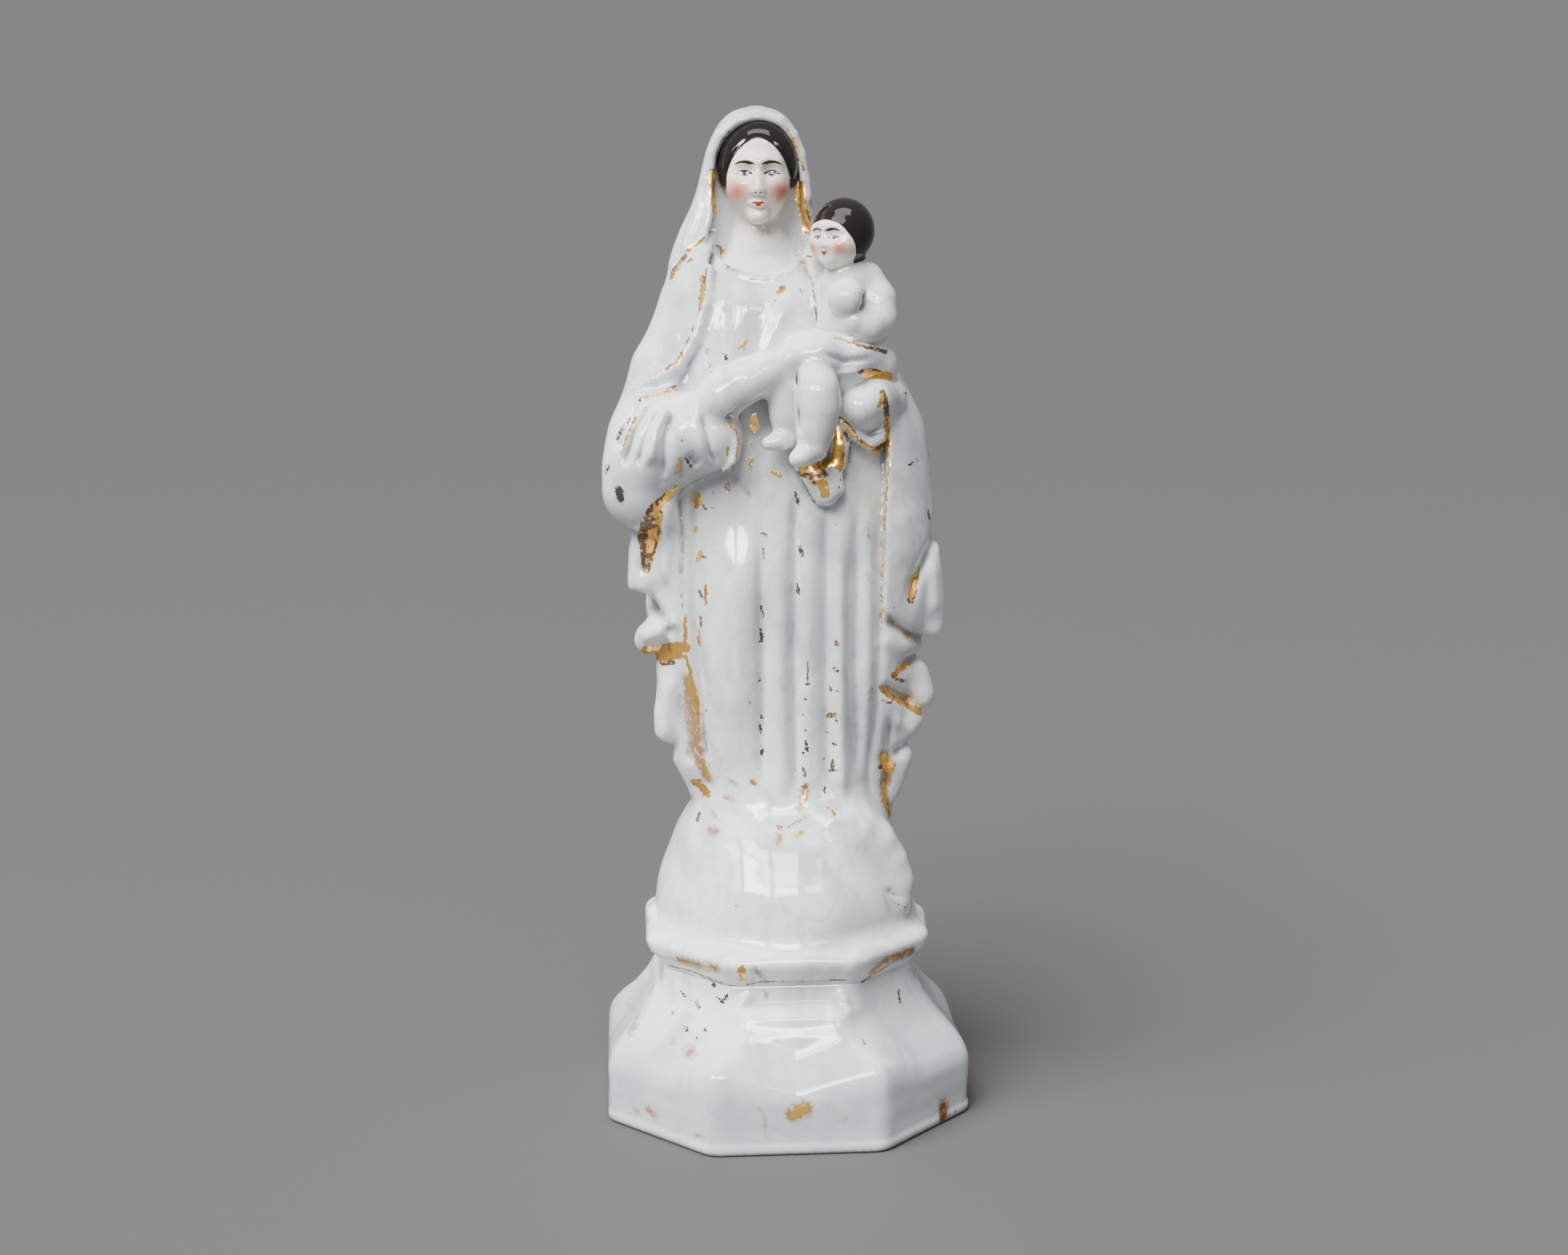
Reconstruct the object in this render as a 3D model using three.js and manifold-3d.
import * as THREE from "three";
import { mergeVertices } from "three/addons/utils/BufferGeometryUtils.js";
import Module from "manifold-3d";

// A porcelain statuette: a standing mother in veil and mantle carries a child on her left arm.
// She stands on a globe, and the globe on an eight-sided pedestal, all cast as one piece.
// Millimetres, +Z up, the front faces -Y, and the origin is the middle of the underside.

const HEIGHT = 240;
const PEDESTAL_HALF_WIDTH = 44;
const PEDESTAL_HEIGHT = 46;
const GLOBE_RADIUS = 31.8;
const GLOBE_CENTRE_Z = 48;
const HEAD = { x: -6.3, y: -3.4, z: 225.2, halfWidth: 8.5, halfDepth: 9.8, halfHeight: 12.2 };
const CHILD_HEAD = { x: 12.2, y: -14, z: 211.1, halfWidth: 7, halfDepth: 7.3, halfHeight: 7.5, turn: -0.7 };
const PORCELAIN = new THREE.Color(0.9, 0.91, 0.9);

const wasm = await Module();
wasm.setup();

// Forms are distances: negative inside, in millimetres, as functions of (x, y, z).

// Joins two distances with a fillet about k wide, as a thick glaze does.
function melt(a, b, k) {
  const h = Math.max(k - Math.abs(a - b), 0) / k;
  return Math.min(a, b) - (h * h * k) / 4;
}

// Takes b out of a, with the edge eased over k.
function carve(a, b, k) {
  return -melt(-a, b, k);
}

// Reads a value off a smooth line through [position, value] pairs.
function profile(pairs) {
  const slope = pairs.map((pair, i) => {
    const before = pairs[Math.max(i - 1, 0)];
    const after = pairs[Math.min(i + 1, pairs.length - 1)];
    return (after[1] - before[1]) / (after[0] - before[0]);
  });
  return (s) => {
    if (s <= pairs[0][0]) return pairs[0][1];
    const last = pairs.length - 1;
    if (s >= pairs[last][0]) return pairs[last][1];
    let i = 0;
    while (s > pairs[i + 1][0]) i++;
    const span = pairs[i + 1][0] - pairs[i][0];
    const t = (s - pairs[i][0]) / span;
    const ease = t * t * (3 - 2 * t);
    const leave = t * (1 - t) * (1 - t) * span * slope[i];
    const arrive = t * t * (t - 1) * span * slope[i + 1];
    return pairs[i][1] + (pairs[i + 1][1] - pairs[i][1]) * ease + leave + arrive;
  };
}

function ellipsoid({ at, radii, turn = 0 }) {
  const [cos, sin] = [Math.cos(turn), Math.sin(turn)];
  const least = Math.min(...radii);
  return (x, y, z) => {
    const [dx, dy, dz] = [x - at[0], y - at[1], z - at[2]];
    const u = (dx * cos + dy * sin) / radii[0];
    const v = (dy * cos - dx * sin) / radii[1];
    return (Math.hypot(u, v, dz / radii[2]) - 1) * least;
  };
}

// A limb, roll or fold of cloth: points [x, y, z, radius], thinner or thicker in depth by flat.
function limb(points, flat = 1) {
  return (x, y, z) => {
    let least = Infinity;
    for (let i = 0; i + 1 < points.length; i++) {
      const [a, b] = [points[i], points[i + 1]];
      const [ux, uy, uz] = [b[0] - a[0], (b[1] - a[1]) / flat, b[2] - a[2]];
      const [vx, vy, vz] = [x - a[0], (y - a[1]) / flat, z - a[2]];
      const along = (ux * vx + uy * vy + uz * vz) / (ux * ux + uy * uy + uz * uz);
      const t = Math.min(Math.max(along, 0), 1);
      const gap = Math.hypot(vx - ux * t, vy - uy * t, vz - uz * t);
      least = Math.min(least, gap - a[3] - (b[3] - a[3]) * t);
    }
    return least;
  };
}

// A standing form from its outline seen in front (left, right) and from the side (front, back).
function standing({ axis, left, right, front, back, round = 2.2 }) {
  return (x, y, z) => {
    const dx = x - axis(z);
    const u = Math.abs(dx) / (dx < 0 ? axis(z) - left(z) : right(z) - axis(z));
    const v = Math.abs(y) / (y < 0 ? front(z) : back(z));
    const size = Math.pow(Math.pow(u, round) + Math.pow(v, round), 1 / round);
    return Math.hypot(dx, y) * (1 - 1 / Math.max(size, 1e-4)) * 0.8;
  };
}

// A drawn fold: how much the front swells (or sinks, with a negative height) beside a line of [x, z].
function fold(line, width, height) {
  return (x, y, z) => {
    let least = Infinity;
    for (let i = 0; i + 1 < line.length; i++) {
      const [a, b] = [line[i], line[i + 1]];
      const [ux, uz] = [b[0] - a[0], b[1] - a[1]];
      const along = ((x - a[0]) * ux + (z - a[1]) * uz) / (ux * ux + uz * uz);
      const t = Math.min(Math.max(along, 0), 1);
      least = Math.min(least, Math.hypot(x - a[0] - ux * t, z - a[1] - uz * t));
    }
    const front = Math.min(Math.max((4 - y) / 8, 0), 1);
    return height * front * Math.exp(-((least / width) ** 2));
  };
}

// The pedestal: an upright block, a hollow flare, a neck and a rounded cornice.
const faceDistance = profile([
  [0, 43.6], [1.2, PEDESTAL_HALF_WIDTH], [14, PEDESTAL_HALF_WIDTH], [16, 43.2], [19.5, 40.6], [22.5, 37.2],
  [25.5, 34], [29, 31.8], [33, 30.6], [36, 30.3], [37.5, 31], [40, 33.1], [42.4, 34.5], [44.6, 34.2],
  [PEDESTAL_HEIGHT, 33],
]);
const cornerDistance = profile([
  [0, 45.2], [1.2, 45.8], [13.6, 45.8], [16, 44.6], [19, 40.8], [22, 37.4], [26, 34.4], [30, 32.6],
  [36, 31.8], [37.5, 32.4], [40, 34], [42.4, 35.2], [44.6, 34.9], [PEDESTAL_HEIGHT, 33.7],
]);

// Each wide face swells into a boss under the neck, highest in its middle.
const bossSwell = profile([[15, 0], [19, 0.8], [24, 2.4], [28, 2.6], [31, 1.8], [34, 0]]);

function pedestal(x, y, z) {
  const level = Math.min(Math.max(z, 0), PEDESTAL_HEIGHT);
  const across = Math.min(Math.abs(x), Math.abs(y));
  const face = faceDistance(level) + bossSwell(level) * Math.max(1 - (across / 15) ** 2, 0);
  const flat = -melt(face - Math.abs(x), face - Math.abs(y), 2);
  const side = -melt(-flat, cornerDistance(level) - (Math.abs(x) + Math.abs(y)) * Math.SQRT1_2, 2.4);
  return Math.max(side * 0.7, -z, -melt(PEDESTAL_HEIGHT - z, -side, 1.5));
}

// The globe, with the serpent that lies over its right side.
const SERPENT = [
  [18, -19, 71.5, 1.5], [22, -18.6, 68.5, 2.6], [25.6, -15.6, 63.5, 3.1], [26.3, -15.6, 57, 2.8], [23.6, -19.6, 52.4, 1.3],
];
const crescent = fold([[-25, 66], [-27, 60], [-24, 53.5], [-14, 49.5], [0, 48.3], [14, 49.5], [22, 52.5]], 1.6, 0.35);

function globe(x, y, z) {
  return Math.hypot(x, y, z - GLOBE_CENTRE_Z) - GLOBE_RADIUS - crescent(x, y, z);
}

// The gown, from its spread hem up to the neckline.
const bodyAxis = profile([[60, 0], [75, 1], [120, 0.5], [150, -1], [190, -4.5], [215, -6]]);
const gown = standing({
  axis: bodyAxis,
  round: 2.6,
  left: profile([
    [66, -25.6], [70, -23.2], [76, -20.6], [82, -20.4], [92, -24], [112, -28.6], [135, -30.5], [155, -31], [170, -31],
    [180, -29], [190, -26.5], [198, -23], [206, -17],
  ]),
  right: profile([
    [66, 26], [72, 23.2], [78, 21.4], [88, 22.6], [110, 26.4], [135, 28], [155, 26], [180, 18.5], [198, 11.5], [206, 7],
  ]),
  front: profile([
    [62, 27], [66, 25.8], [70, 23.5], [76, 20.5], [88, 19.3], [110, 20.2], [135, 20.8], [155, 20], [180, 18.4],
    [195, 16.8], [201, 14.6], [206, 12],
  ]),
  back: profile([[66, 18], [78, 15], [120, 17], [180, 14], [206, 9]]),
});
const NECKLINE = [[-21, 215], [-17, 207.4], [-14.7, 204.5], [-11.2, 202.6], [-6, 201.6], [-1, 202.4], [2.4, 204.5], [5, 208], [9, 215]];
const gownFolds = [
  fold([[-22.5, 150], [-22, 120], [-19.5, 92]], 1.8, -0.8),
  fold([[-13.5, 145], [-13, 118]], 6.5, 1.6),
  fold([[-14, 112], [-13.5, 84]], 5, 0.5),
  fold([[-6.8, 143], [-6.6, 112], [-6.9, 80]], 1.1, -1.1),
  fold([[-2.9, 143], [-2.8, 110], [-2.4, 76]], 2.2, 0.9),
  fold([[0.9, 150], [0.8, 110], [1.1, 78]], 1, -1.2),
  fold([[4.8, 150], [4.2, 115], [4.4, 78]], 1.6, 0.7),
  fold([[8.5, 147], [8.3, 110], [8.9, 78]], 1.2, -1.3),
  fold([[12, 130], [12, 76]], 1.6, 0.9),
  fold([[15.5, 148], [15.4, 110], [16, 84]], 1.3, -1.2),
  fold([[18.6, 150], [18.6, 84]], 1.3, 0.4),
  fold([[-8, 198], [-10.5, 190], [-13.5, 182]], 2.8, 0.9),
  fold([[-1, 197], [-3.5, 190], [-7, 182]], 2.2, 0.8),
  fold([[-14.8, 198], [-16, 189], [-17.4, 182]], 1.8, -0.7),
  fold([[-4, 197], [-7, 188], [-10.4, 181]], 1.5, -0.6),
];

function dress(x, y, z) {
  let d = gown(x, y, z);
  for (const swell of gownFolds) d -= swell(x, y, z);
  return d;
}

// The mantle: a shell round the gown, open in front between its two edges.
const mantleShell = standing({
  axis: bodyAxis,
  left: profile([
    [66, -18], [72, -20.4], [80, -24.2], [88, -27.8], [100, -29.6], [112, -31.6], [122, -33.4], [132, -34.6], [141, -36],
    [145, -39.5], [152, -40.5], [160, -38.8], [173, -34.8], [184, -31.3], [194, -28.9], [201, -27.3], [206, -25],
    [210, -20], [213, -12],
  ]),
  right: profile([
    [66, 24.5], [72, 26.4], [80, 28.8], [90, 30], [100, 32], [110, 33.2], [122, 36.6], [132, 36.9], [145, 36.2],
    [160, 34.6], [167, 33.2], [173, 30.4], [180, 26.5], [190, 22], [198, 18], [204, 13.5], [209, 8], [213, 2],
  ]),
  front: profile([[66, 14], [80, 15.5], [100, 18], [130, 21], [155, 21], [180, 18.6], [195, 16.2], [204, 12.5], [213, 8]]),
  back: profile([[66, 16], [80, 19], [100, 21], [130, 22], [160, 20.5], [185, 17.5], [200, 15], [213, 12]]),
});
const leftEdge = profile([
  [66, -16], [84, -18.7], [97, -21.2], [108, -22.8], [114, -24.4], [138, -25], [160, -26.5], [176, -26], [182, -24.7],
  [189, -21.7], [196, -20.1], [202, -19], [208, -17],
]);
const rightEdge = profile([
  [66, 21.5], [83, 19.6], [99, 21.5], [117, 21.9], [136, 22], [164, 23], [173, 22.7], [181, 14], [188, 8.2],
  [194, 5.6], [202, 4.8], [208, 5],
]);
const mantleFolds = [
  fold([[-31.5, 149], [-33.2, 140], [-34, 131]], 1.7, -3.2),
  fold([[-28.2, 150], [-28.6, 140], [-30, 130]], 1.7, 1.3),
  fold([[-36.5, 126.5], [-32.5, 125.6], [-29, 122]], 1.5, -2.4),
  fold([[-34.5, 117], [-29, 118.5], [-25.5, 122]], 2, 1.3),
  fold([[-33, 112.6], [-27.5, 113]], 1.9, -2.6),
  fold([[-28.5, 108], [-29.5, 92]], 2.4, 1.4),
  fold([[-25, 108], [-24, 98], [-22.5, 88]], 1.3, -1.2),
  fold([[-33, 90], [-27, 86]], 1.6, -1.6),
  fold([[36.5, 143.5], [33.8, 136.5], [30.6, 131.5], [29, 126.5]], 1.2, -1.8),
  fold([[30, 129], [29.6, 125.5]], 1.4, -1.8),
  fold([[34.5, 134], [35, 120]], 2.2, 0.9),
  fold([[22.5, 121.5], [29, 116.8], [36.5, 112.8]], 1.2, -1.6),
  fold([[38, 109], [31, 109.6], [26.8, 107]], 1.3, -2.4),
  fold([[31.5, 104.5], [32.5, 101.5]], 2.4, 1.4),
  fold([[21.5, 105], [27, 101], [34, 96.5]], 1.2, -2),
  fold([[29.5, 95], [25.5, 92.5]], 2.2, 1.1),
  fold([[36, 89.5], [29, 88.6], [25, 86]], 1.4, -1.8),
  fold([[24.8, 97], [24.2, 78]], 1.2, -1.1),
];

// Pleats that hang down at her sides, each ending in a round lobe.
const PLEATS = [
  [[-30.5, -6, 147, 4], [-33, -7, 137, 4.4], [-34, -7, 129.5, 3.8]],
  [[-29.5, -6, 123, 4], [-33, -6, 115.4, 3.4]],
  [[-27, -5, 108, 4], [-28, -5, 98, 3.6], [-28.4, -5, 93, 3.2]],
  [[-24, -4, 86, 3.2], [-21, -4, 79, 2.6]],
  [[32.6, -4, 136, 4.4], [34.2, -4, 124, 4.4], [34.8, -4, 118, 3.9]],
  [[30.4, -4, 108, 4], [32.6, -4, 101, 3.8]],
  [[27.4, -4, 92, 3.8], [28, -4, 85, 3.2], [25.6, -4, 77, 2.6]],
];
const pleats = PLEATS.map((points) => limb(points));

const elbow = limb([[-24, -4, 194, 4], [-29, -8, 180, 6.5], [-33.4, -11, 165, 7.6], [-34.9, -11.5, 151.5, 8]]);

const BACK_FOLDS = { count: 5, spacing: 9.5, width: 2.6, depth: 1.1, from: 74, to: 196 };

function backFolds(x, y, z) {
  const { count, spacing, width, depth, from, to } = BACK_FOLDS;
  const fade = Math.min(Math.max((y - 2) / 8, 0), 1) * Math.min(Math.max((z - from) / 20, 0), Math.max((to - z) / 30, 0), 1);
  const side = (x - bodyAxis(z)) / (0.6 + 0.4 * Math.min((to - z) / 60, 1));
  const nearest = Math.min(Math.abs(Math.round(side / spacing)), (count - 1) / 2) * Math.sign(side);
  return depth * fade * Math.exp(-(((side - nearest * spacing) / width) ** 2));
}

function mantle(x, y, z) {
  let d = melt(mantleShell(x, y, z), elbow(x, y, z), 6) - backFolds(x, y, z);
  for (const pleat of pleats) d = melt(d, pleat(x, y, z), 2);
  for (const swell of mantleFolds) d -= swell(x, y, z);
  return d;
}

// The roll of the mantle's border, from the shoulder down and round the elbow, as [x, z, radius].
const BORDER = [[-17.8, 203, 1], [-19, 195, 1.2], [-21.4, 187.4, 1.3], [-25.4, 180.9, 1.3], [-31, 178, 1.2], [-35, 176, 1]];

// Her right arm: the wide sleeve and the hand that steadies the child.
const SLEEVE = [[-33.5, -12.5, 158, 9], [-27.5, -15.5, 163, 9.4], [-20.5, -17.5, 165.3, 8.8], [-17.3, -18.5, 163.2, 7.2]];
const CUFF = [[-15, 168.4, 1], [-12.8, 164, 1.4], [-13.2, 159.6, 1.4], [-17, 157.2, 1.4]];
const HAND = [
  [-19, -21.5, 172.5, 5], [-14.5, -23.5, 176.4, 4.9], [-9, -24.6, 179.4, 4.4], [-5, -24.8, 180.6, 3.8],
];
const sleeve = limb(SLEEVE);
const sleeveFolds = [
  fold([[-34.6, 171.5], [-37.6, 167.5], [-39.6, 163]], 0.8, -0.9),
  fold([[-32.4, 172], [-35.6, 166], [-38, 160]], 0.8, -1.1),
  fold([[-30.4, 171], [-33.2, 166], [-35, 160]], 0.8, -0.9),
  fold([[-28, 173], [-31, 168], [-32.8, 160]], 1.4, 0.8),
  fold([[-27.2, 170], [-29, 165], [-29, 157]], 1, -0.9),
  fold([[-21, 161.5], [-18.5, 159.8]], 1.2, -0.6),
];

function rightArm(x, y, z) {
  let d = melt(sleeve(x, y, z), elbow(x, y, z), 4);
  for (const swell of sleeveFolds) d -= swell(x, y, z);
  return d;
}

// Her left arm: the hand under the child, the mantle's gilded edge below it and the hanging cloth end.
const LEFT_HAND = [[23.5, -11, 173.5, 4.6], [19, -16.5, 173.2, 5], [16, -19, 171.8, 4.9]];
const GATHERED_EDGE = [
  [10.7, 169.5, 1.3], [15.3, 164.9, 1.3], [18.5, 162.8, 1.4], [21.8, 164.4, 1.4], [22.6, 169, 1.4], [22, 175, 1.3],
];
const LEAF = [[10.4, 166.5, 1.6], [11.1, 162, 2.6], [10.9, 158, 2]];
const CLOTH_END = [[4.6, 160, 3], [7.2, 155.5, 3.4], [8.4, 151.8, 3]];

// Chest, neck, head and the hood of the veil round them.
const chest = ellipsoid({ at: [-5.6, -2.4, 196], radii: [15, 13.6, 10.8] });
const NECK = [[HEAD.x, -3, 217, 5], [-6.2, -2.6, 210, 5.8], [-6, -2, 205, 8.6], [-5.8, -2, 200, 11]];
const skull = ellipsoid({ at: [HEAD.x, HEAD.y, HEAD.z + 1], radii: [HEAD.halfWidth, HEAD.halfDepth, HEAD.halfHeight - 1] });
const jaw = ellipsoid({ at: [HEAD.x, HEAD.y - 2.6, HEAD.z - 4.6], radii: [6.6, 6.8, 7.8] });
const nose = limb([[HEAD.x, -12.7, HEAD.z + 0.4, 0.7], [HEAD.x, -13.9, HEAD.z - 4.6, 1]]);
const hood = standing({
  axis: () => HEAD.x - 0.5,
  left: profile([
    [198, -28], [204, -27.3], [211, -24.8], [217.5, -21.7], [222, -20.2], [227, -19], [232, -17.4], [236.4, -14.9],
    [239, -11.6], [HEIGHT, -8],
  ]),
  right: profile([
    [198, 14], [204, 13], [211, 10.6], [218, 7.8], [222, 6.3], [227, 5.2], [232, 4], [236.4, 1.6], [239, -1.6],
    [HEIGHT, -5],
  ]),
  front: profile([[198, 13], [206, 11.5], [214, 10.2], [224, 10.6], [232, 10.4], [236.5, 8.4], [239, 5], [HEIGHT, 1.5]]),
  back: profile([[198, 15.6], [210, 14.4], [224, 12.8], [232, 11], [236.5, 8.4], [239, 5], [HEIGHT, 1.5]]),
});
const RIM = [
  [-22.5, 208, 1.2], [-18.6, 216, 1.4], [-16.8, 223, 1.5], [-15.3, 229, 1.5], [-12.2, 233.8, 1.4], [HEAD.x, 236.4, 1.3],
  [-0.6, 233.8, 1.4], [2.4, 229, 1.5], [3.8, 223, 1.5], [5.4, 216, 1.4], [7.4, 210, 1.2],
];
const faceOpening = limb([[HEAD.x, 0, 226.6, 9.5], [HEAD.x, 0, 216, 9.7], [-6, 0, 207, 12.5], [-6, 0, 198, 13]]);

function head(x, y, z) {
  return melt(melt(skull(x, y, z), jaw(x, y, z), 3), nose(x, y, z), 1.6);
}

// Hair drawn down from a middle parting: a cap over the skull, cut away round the face.
const hair = ellipsoid({
  at: [HEAD.x, HEAD.y + 0.4, HEAD.z + 1.4], radii: [HEAD.halfWidth + 0.6, HEAD.halfDepth + 0.5, HEAD.halfHeight - 1],
});
const HAIRLINE = [[0, 8], [3.6, 6.3], [6.4, 2.6], [7.7, -3.2], [7.7, -20]];

function veilOuter(x, y, z) {
  return Math.max(hood(x, y, z), z - HEIGHT, 198 - z);
}

function veil(x, y, z) {
  const opening = Math.max(faceOpening(x, 0, z), y + 5.5);
  return carve(veilOuter(x, y, z), opening, 1.4);
}

// The child, who sits sideways on her arm in a cloth tied at the waist.
const childSkull = ellipsoid({
  at: [CHILD_HEAD.x, CHILD_HEAD.y, CHILD_HEAD.z],
  radii: [CHILD_HEAD.halfWidth, CHILD_HEAD.halfDepth, CHILD_HEAD.halfHeight],
  turn: CHILD_HEAD.turn,
});
const childJaw = ellipsoid({ at: [9.6, -17, 208], radii: [4.6, 4.4, 4.8], turn: CHILD_HEAD.turn });
const childTorso = limb([[13.8, -14.6, 199, 6.6], [14.6, -14.6, 191, 7.4], [16, -15, 184, 7]], 0.9);
const CHILD_NECK = [[12.4, -14.4, 208, 3.6], [14, -14, 201, 4.6]];
const CHILD_ARM = [
  [18, -14.4, 200.6, 4.2], [19.9, -15.8, 196, 4.2], [20.2, -17, 191.6, 4], [17.4, -19.4, 189.9, 3.7], [14.2, -20.6, 191.8, 3.6],
  [13.2, -20.8, 196, 4.2],
];
const CHILD_CLOTH = [[20, -14, 181, 5.2], [13, -19, 182.5, 5.4], [5, -22, 182.6, 4.4], [-1, -23, 182.4, 3.4]];
const CHILD_SEAT = [[20.6, -12, 179.5, 5], [12, -17, 178, 5.4]];
const LEFT_LEG = [
  [5, -22, 179.6, 4.2], [6, -24.4, 176.4, 4.7], [6.2, -24.2, 170.4, 4.3], [5.2, -24, 165, 3.2], [4, -24.8, 161.8, 2.8],
  [1.4, -26.2, 160.6, 2.3],
];
const RIGHT_LEG = [
  [-2.8, -22.2, 179.4, 3.8], [-2, -23.8, 175, 3.6], [-1, -23.6, 169, 3.2], [-0.2, -23.6, 166, 2.8], [-1.8, -24.2, 164.4, 2.6],
  [-4.6, -25, 163.6, 2.1],
];
const childHair = ellipsoid({
  at: [CHILD_HEAD.x + 0.5, CHILD_HEAD.y + 0.4, CHILD_HEAD.z + 0.4],
  radii: [CHILD_HEAD.halfWidth + 0.3, CHILD_HEAD.halfDepth + 0.3, CHILD_HEAD.halfHeight],
  turn: CHILD_HEAD.turn,
});

function childHead(x, y, z) {
  return melt(childSkull(x, y, z), childJaw(x, y, z), 2.4);
}

// Gown and mantle together, which the looser pieces of cloth lie on.
function clothed(x, y, z) {
  return Math.min(dress(x, y, z), mantle(x, y, z));
}

// Walks in from outside along a ray and returns how far from its foot the form is met.
function meet(form, foot, direction, reach) {
  let far = reach;
  let near = far;
  const at = (s) => form(foot[0] + direction[0] * s, foot[1] + direction[1] * s, foot[2] + direction[2] * s);
  while (far > 0) {
    const gap = at(far);
    if (gap < 0.01) break;
    near = far;
    far -= Math.max(gap * 0.6, 0.05);
  }
  far = Math.max(far, 0.05);
  for (let i = 0; i < 12; i++) {
    const middle = (near + far) / 2;
    if (at(middle) > 0) near = middle;
    else far = middle;
  }
  return far;
}

// Turns a three.js geometry into a manifold solid.
function solid(geometry) {
  geometry.deleteAttribute("normal");
  geometry.deleteAttribute("uv");
  const merged = mergeVertices(geometry, 1e-4);
  const index = merged.index.array;
  const kept = [];
  for (let i = 0; i < index.length; i += 3) {
    const [a, b, c] = index.slice(i, i + 3);
    if (a !== b && b !== c && a !== c) kept.push(a, b, c);
  }
  return new wasm.Manifold(new wasm.Mesh({
    numProp: 3,
    vertProperties: merged.attributes.position.array,
    triVerts: new Uint32Array(kept),
  }));
}

// A lathe turned round an upright axis and pressed onto a form: level rays at the given heights.
function pressedLathe({ form, axisX = 0, axisY = 0, heights, columns, reach, bearing = (a) => a }) {
  const outline = [new THREE.Vector2(0, heights[0])];
  for (const z of heights) outline.push(new THREE.Vector2(1, z));
  outline.push(new THREE.Vector2(0, heights[heights.length - 1]));
  const geometry = new THREE.LatheGeometry(outline, columns);
  const position = geometry.attributes.position;
  const rows = outline.length;
  for (let i = 0; i < position.count; i++) {
    const z = position.getY(i);
    const column = Math.floor(i / rows) % columns;
    const angle = bearing((column / columns) * Math.PI * 2);
    const direction = [Math.sin(angle), -Math.cos(angle), 0];
    const onAxis = position.getX(i) ** 2 + position.getZ(i) ** 2 < 0.25;
    const r = onAxis ? 0 : meet(form, [axisX, axisY, z], direction, reach);
    position.setXYZ(i, axisX + direction[0] * r, axisY + direction[1] * r, z);
  }
  return solid(geometry);
}

// A ball pressed onto a form from all round its middle.
function pressedBall({ form, at, reach, columns, rows }) {
  const geometry = new THREE.SphereGeometry(1, columns, rows);
  const position = geometry.attributes.position;
  const direction = new THREE.Vector3();
  for (let i = 0; i < position.count; i++) {
    direction.fromBufferAttribute(position, i).normalize();
    const ray = [direction.x, -direction.z, direction.y];
    const r = meet(form, at, ray, reach);
    position.setXYZ(i, at[0] + ray[0] * r, at[1] + ray[1] * r, at[2] + ray[2] * r);
  }
  return solid(geometry);
}

function steps(from, to, count) {
  return Array.from({ length: count + 1 }, (_, i) => from + ((to - from) * i) / count);
}

// Columns stand closer together in front, where the carving is.
const crowdFront = (a) => a - 0.42 * Math.sin(a);

// A rope of changing thickness along [x, y, z, radius] points, rounded off at both ends.
function rope(points, sides = 8, rings = 8) {
  const [first, last] = [points[0], points[points.length - 1]];
  const spots = points.map(([x, y, z]) => new THREE.Vector3(x, y, z));
  const [start, end] = [spots[0].clone(), spots[spots.length - 1].clone()];
  spots[0].add(start.clone().sub(spots[1]).setLength(first[3]));
  spots[spots.length - 1].add(end.clone().sub(spots[spots.length - 2]).setLength(last[3]));
  const path = new THREE.CatmullRomCurve3(spots);
  const length = path.getLength();
  const thickness = (u) => {
    const s = path.getUtoTmapping(u) * (points.length - 1);
    const i = Math.min(Math.floor(s), points.length - 2);
    const r = points[i][3] + (points[i + 1][3] - points[i][3]) * (s - i);
    const tip = Math.min((Math.min(u, 1 - u) * length) / r, 1);
    return r * Math.sqrt(tip * (2 - tip));
  };
  const geometry = new THREE.TubeGeometry(path, rings, 1, sides);
  const position = geometry.attributes.position;
  const spot = new THREE.Vector3();
  for (let i = 0; i < position.count; i++) {
    const u = Math.floor(i / (sides + 1)) / rings;
    const centre = path.getPointAt(u);
    spot.fromBufferAttribute(position, i).sub(centre).multiplyScalar(thickness(u)).add(centre);
    position.setXYZ(i, spot.x, spot.y, spot.z);
  }
  return solid(geometry);
}

// Lays [x, z, radius] points on the front of a form, sunk by part of their radius.
function laid(points, form, sink = 0.4) {
  return points.map(([x, z, r]) => [x, 12 - meet(form, [x, 12, z], [0, -1, 0], 60) + r * sink, z, r]);
}

// A block standing in front of y, with the given [x, z] outline.
function frontBlock(outline, y) {
  const shape = new THREE.Shape(outline.map(([x, z]) => new THREE.Vector2(x, z)));
  const block = new THREE.ExtrudeGeometry(shape, { depth: 60, bevelEnabled: false });
  return solid(block.rotateX(Math.PI / 2).translate(0, y, 0));
}

// The mantle is open in front between its two edges.
const openHeights = steps(58, 218, 32);
const mantleOpening = frontBlock([
  ...openHeights.map((z) => [leftEdge(z), z]),
  ...openHeights.toReversed().map((z) => [rightEdge(z), z]),
], 1);

const faceWindow = frontBlock([
  ...HAIRLINE.map(([x, z]) => [HEAD.x + x, HEAD.z + z]),
  ...HAIRLINE.toReversed().map(([x, z]) => [HEAD.x - x, HEAD.z + z]),
], HEAD.y);

// The child's hair starts behind a slanting line over the brow, and covers the back of the head.
const childFace = new THREE.BoxGeometry(12, 12, 11)
  .translate(0, -6.8, -4.4)
  .rotateX(-0.35)
  .rotateZ(CHILD_HEAD.turn)
  .translate(CHILD_HEAD.x, CHILD_HEAD.y, CHILD_HEAD.z);

// Columns of the pedestal stand on its corners, soft edges and faces.
const QUARTER = [0, 12, 23.4, 27, 45, 63, 66.6, 78];

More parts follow.
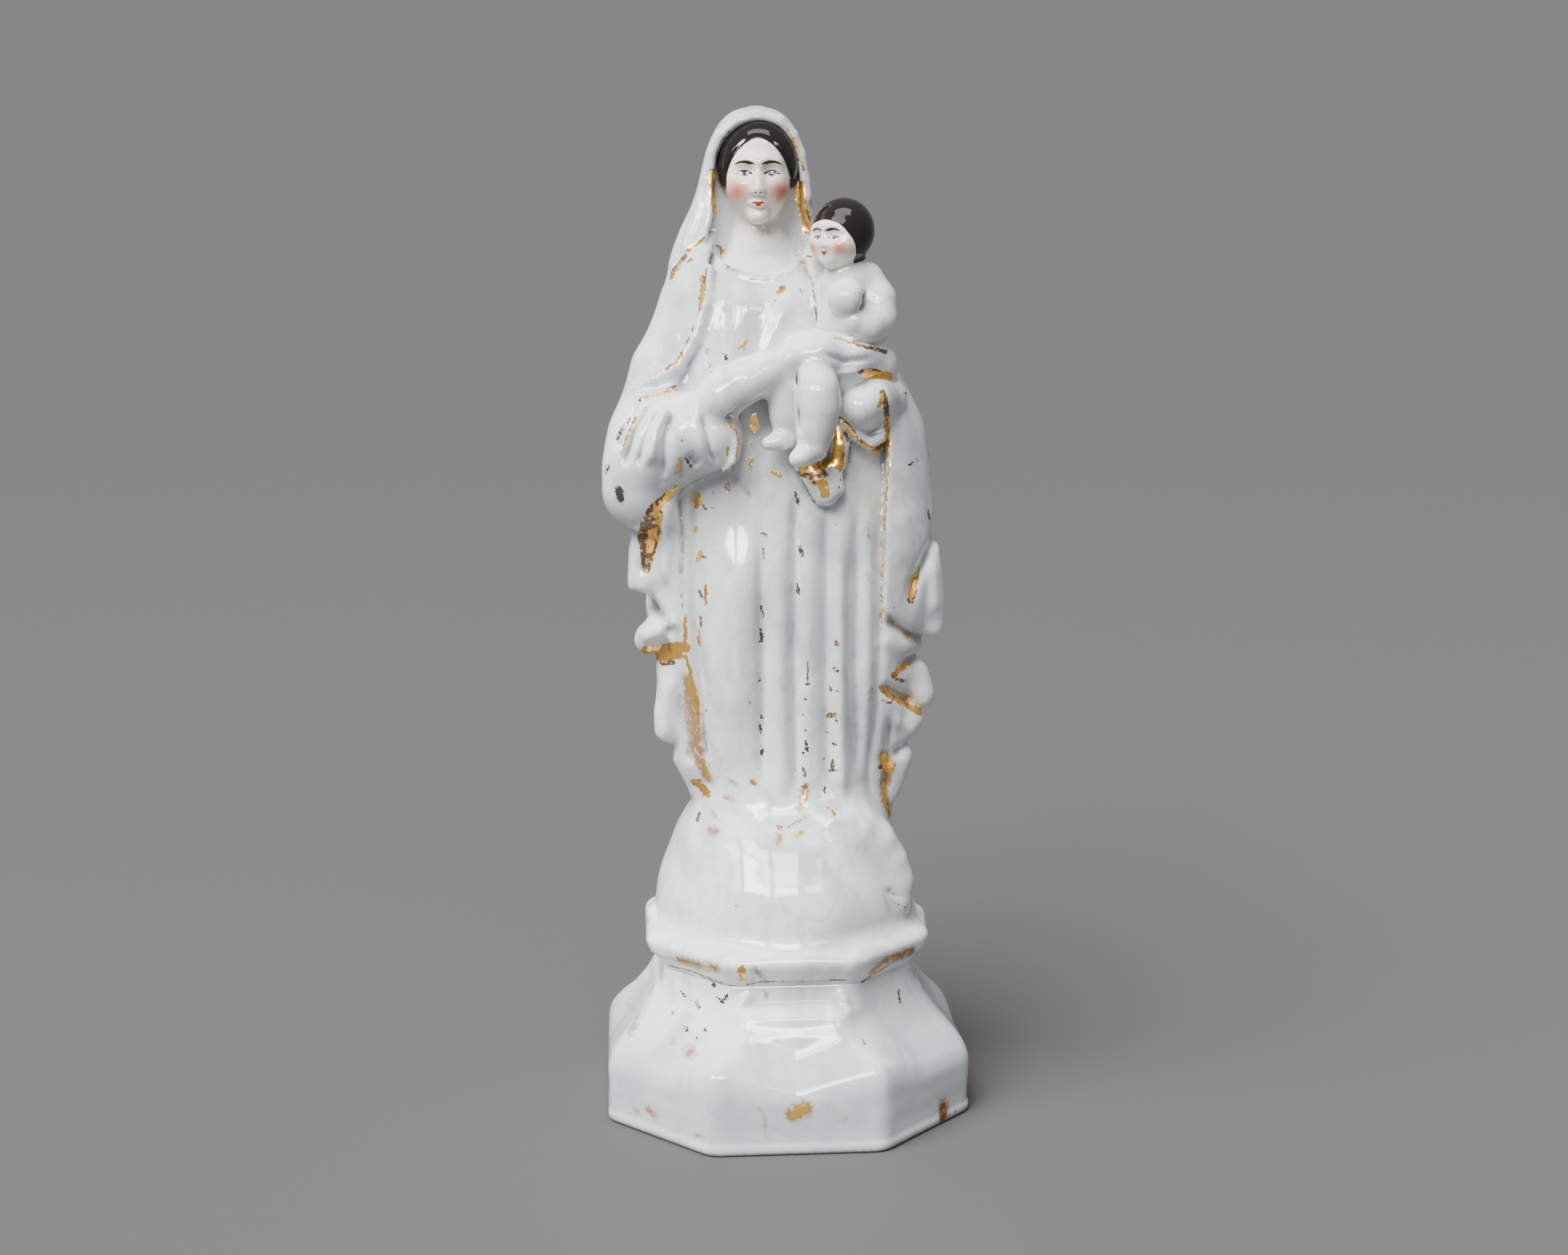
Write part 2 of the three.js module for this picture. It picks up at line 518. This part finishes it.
function toCorners(angle) {
  const column = Math.round((angle / Math.PI) * 16);
  return THREE.MathUtils.degToRad(QUARTER[column % 8] + 90 * Math.floor(column / 8));
}

const mantleHeights = [
  ...steps(70, 104, 9), ...steps(107.5, 134, 8), ...steps(138, 158, 5), ...steps(163, 188, 5), ...steps(194, 212.6, 4),
];

const pieces = [
  pressedLathe({
    form: pedestal, columns: 32, reach: 64, bearing: toCorners,
    heights: [0, 1, 14, 16.5, 19.5, 22.5, 25.5, 29, 33, 36.3, 37.6, 40, 42.4, 44.8, PEDESTAL_HEIGHT - 0.1],
  }),
  pressedLathe({ form: globe, columns: 26, reach: 36, heights: [44, 48, 52, 56, 60, 64, 68, 72, 75.5] }),
  rope(SERPENT, 7, 8),
  pressedLathe({
    form: dress, columns: 44, reach: 46, bearing: crowdFront,
    heights: [62, 66, 70, 74, 80, 88, 100, 112, 124, 136, 146, 154, 168, 182, 190, 198, 206, 210],
  }).subtract(frontBlock(NECKLINE, 0)),
  pressedLathe({
    form: mantle, columns: 42, reach: 50, heights: mantleHeights, bearing: crowdFront,
  }).subtract(mantleOpening),
  pressedBall({ form: chest, at: [-5.6, -2.4, 196], reach: 20, columns: 12, rows: 6 }),
  rope(laid(BORDER, mantle), 5, 13),
  pressedBall({ form: rightArm, at: [-28, -12, 163], reach: 32, columns: 20, rows: 14 }),
  rope(laid(CUFF, rightArm), 6, 7),
  rope(HAND, 8, 6),
  rope(LEFT_HAND, 8, 5),
  rope(laid(GATHERED_EDGE, clothed), 5, 12),
  rope(laid(LEAF, clothed), 6, 5),
  rope(laid(CLOTH_END, clothed), 7, 5),
  pressedLathe({
    form: veil, axisX: HEAD.x - 0.5, axisY: 1, columns: 24, reach: 40,
    heights: [...steps(199, 234, 10), 236.6, 238.4, HEIGHT - 0.01], bearing: crowdFront,
  }),
  rope(laid(RIM, veilOuter), 5, 20),
  rope(NECK, 10, 5),
  pressedBall({ form: head, at: [HEAD.x, HEAD.y, HEAD.z], reach: 24, columns: 16, rows: 12 }),
  pressedBall({ form: hair, at: [HEAD.x, HEAD.y, HEAD.z], reach: 24, columns: 16, rows: 9 }).subtract(faceWindow),
  pressedLathe({ form: childTorso, axisX: 14.8, axisY: -14.7, columns: 10, reach: 12, heights: steps(179, 205, 6) }),
  rope(CHILD_NECK, 7, 4),
  rope(CHILD_ARM, 7, 13),
  rope(CHILD_CLOTH, 8, 8),
  rope(CHILD_SEAT, 7, 4),
  pressedBall({ form: childHead, at: [CHILD_HEAD.x, CHILD_HEAD.y, CHILD_HEAD.z], reach: 18, columns: 14, rows: 9 }),
  pressedBall({
    form: childHair, at: [CHILD_HEAD.x, CHILD_HEAD.y, CHILD_HEAD.z], reach: 18, columns: 14, rows: 8,
  }).subtract(solid(childFace)),
  rope(LEFT_LEG, 8, 10),
  rope(RIGHT_LEG, 8, 10),
];

const statue = pieces.reduce((whole, piece) => whole.add(piece));

function meshOf(manifold, name) {
  const { numProp, vertProperties, triVerts } = manifold.getMesh();
  const geometry = new THREE.BufferGeometry();
  geometry.setAttribute("position", new THREE.BufferAttribute(vertProperties, numProp));
  geometry.setIndex(new THREE.BufferAttribute(triVerts, 1));
  geometry.computeVertexNormals();
  const material = new THREE.MeshStandardMaterial({ color: PORCELAIN, roughness: 0.12, metalness: 0 });
  const mesh = new THREE.Mesh(geometry, material);
  mesh.name = name;
  return mesh;
}

const figure = new THREE.Group();
figure.add(meshOf(statue, "statuette"));

export default figure;
